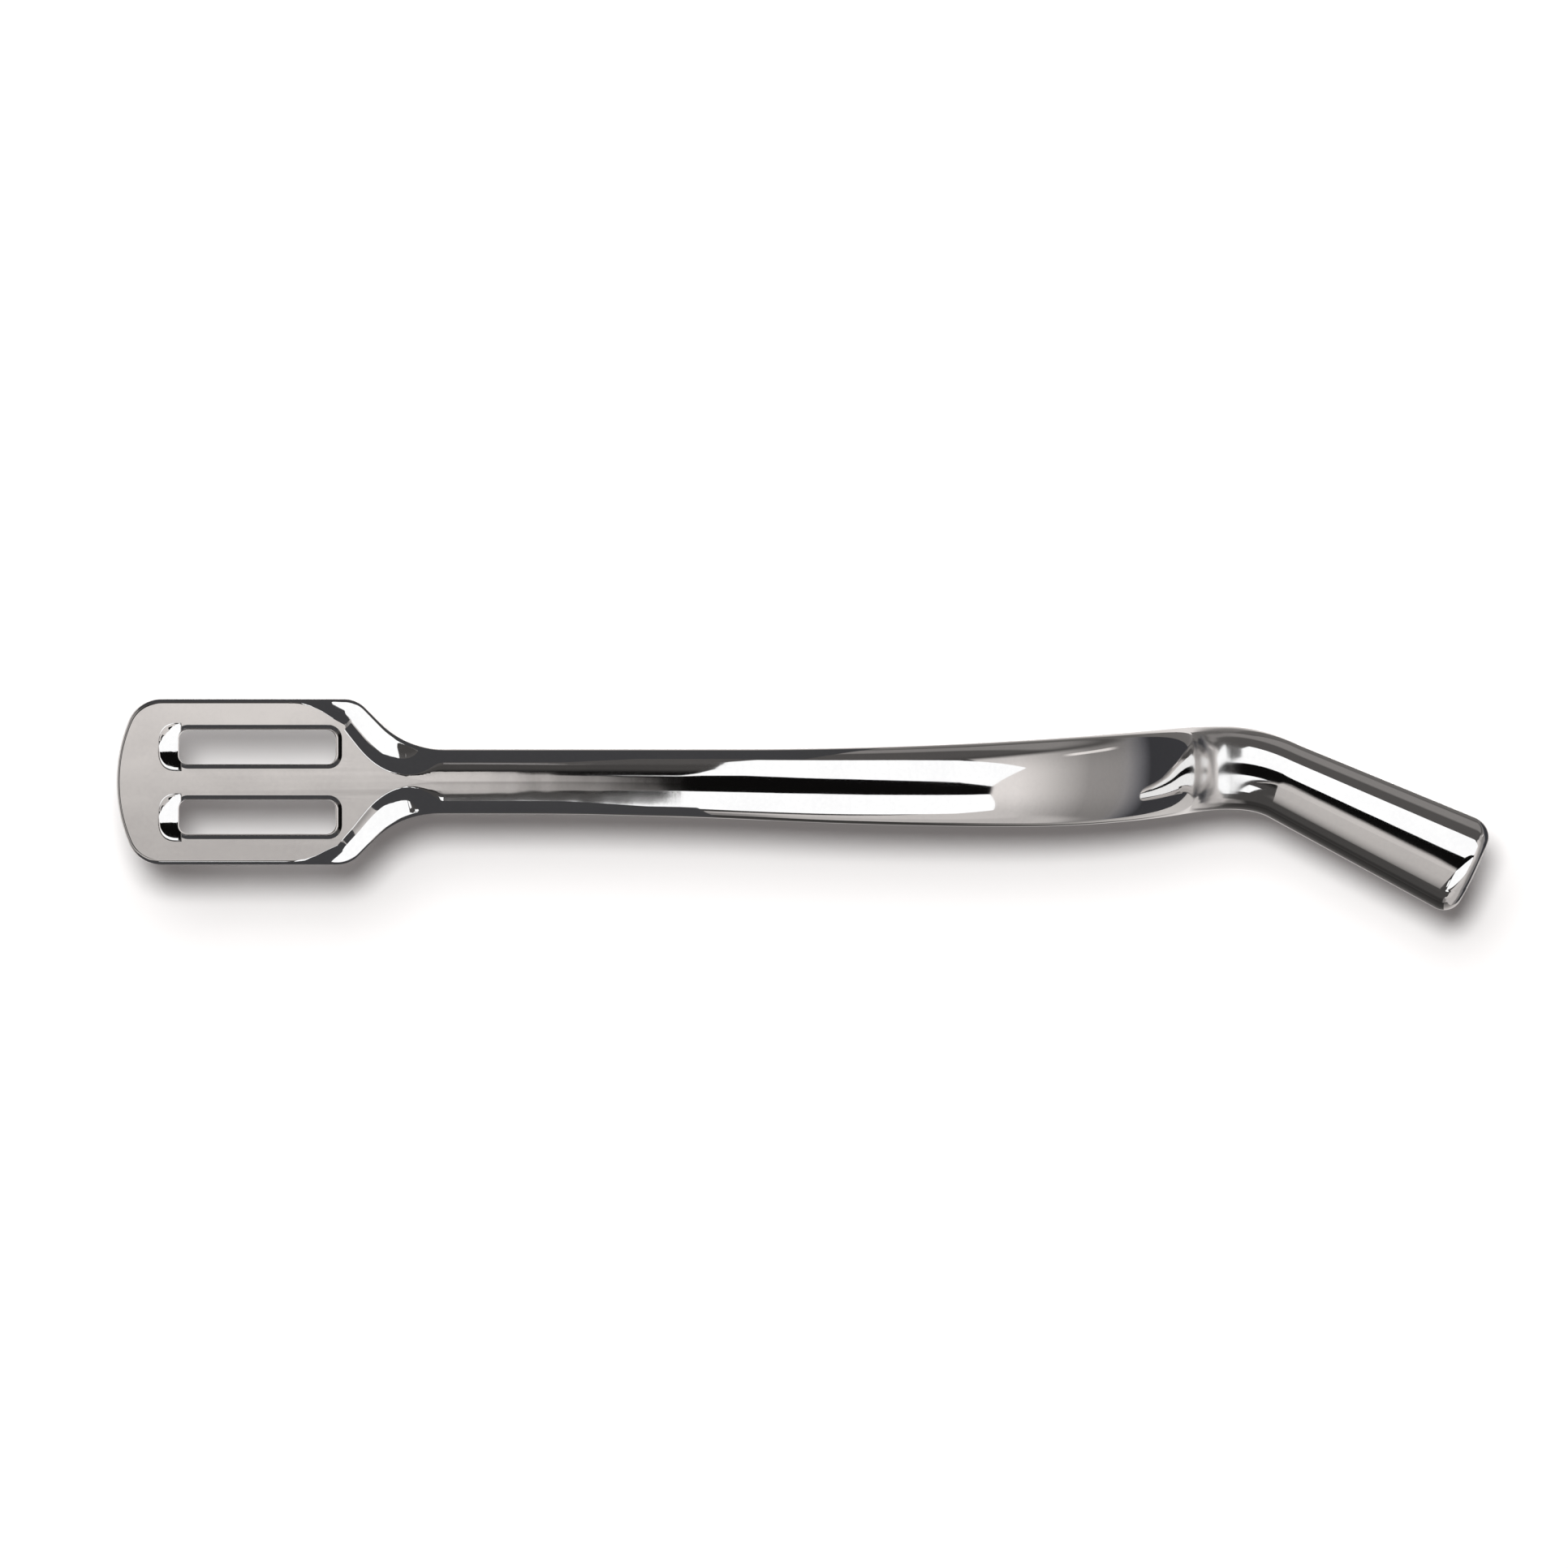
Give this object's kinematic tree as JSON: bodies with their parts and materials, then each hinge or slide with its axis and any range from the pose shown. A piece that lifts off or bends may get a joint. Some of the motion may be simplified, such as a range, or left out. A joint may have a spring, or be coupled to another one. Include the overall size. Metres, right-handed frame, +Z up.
{
  "type": "riding spur",
  "caption": "Riding spur: a round heel band with flat branches, slotted strap plates and a blunt neck that droops.",
  "frame": {"origin": "on the upright axis of the round heel seat, level with the middle of the strap plates", "axes": "+Z up as worn; +X from the heel seat towards the neck's tip, so the toe is at -X; the wearer's left branch at -Y"},
  "size_m": [0.1186, 0.0826, 0.0182],
  "materials": {
    "polished_steel": "mirror-polished stainless steel",
    "satin_steel": "stainless steel, satin faces with polished bevels"
  },
  "bodies": {
    "root": {"heel_band": "polished_steel", "left_strap_plate": "satin_steel", "right_strap_plate": "satin_steel", "neck": "polished_steel", "neck_weld": "polished_steel"}
  },
  "joints": []
}
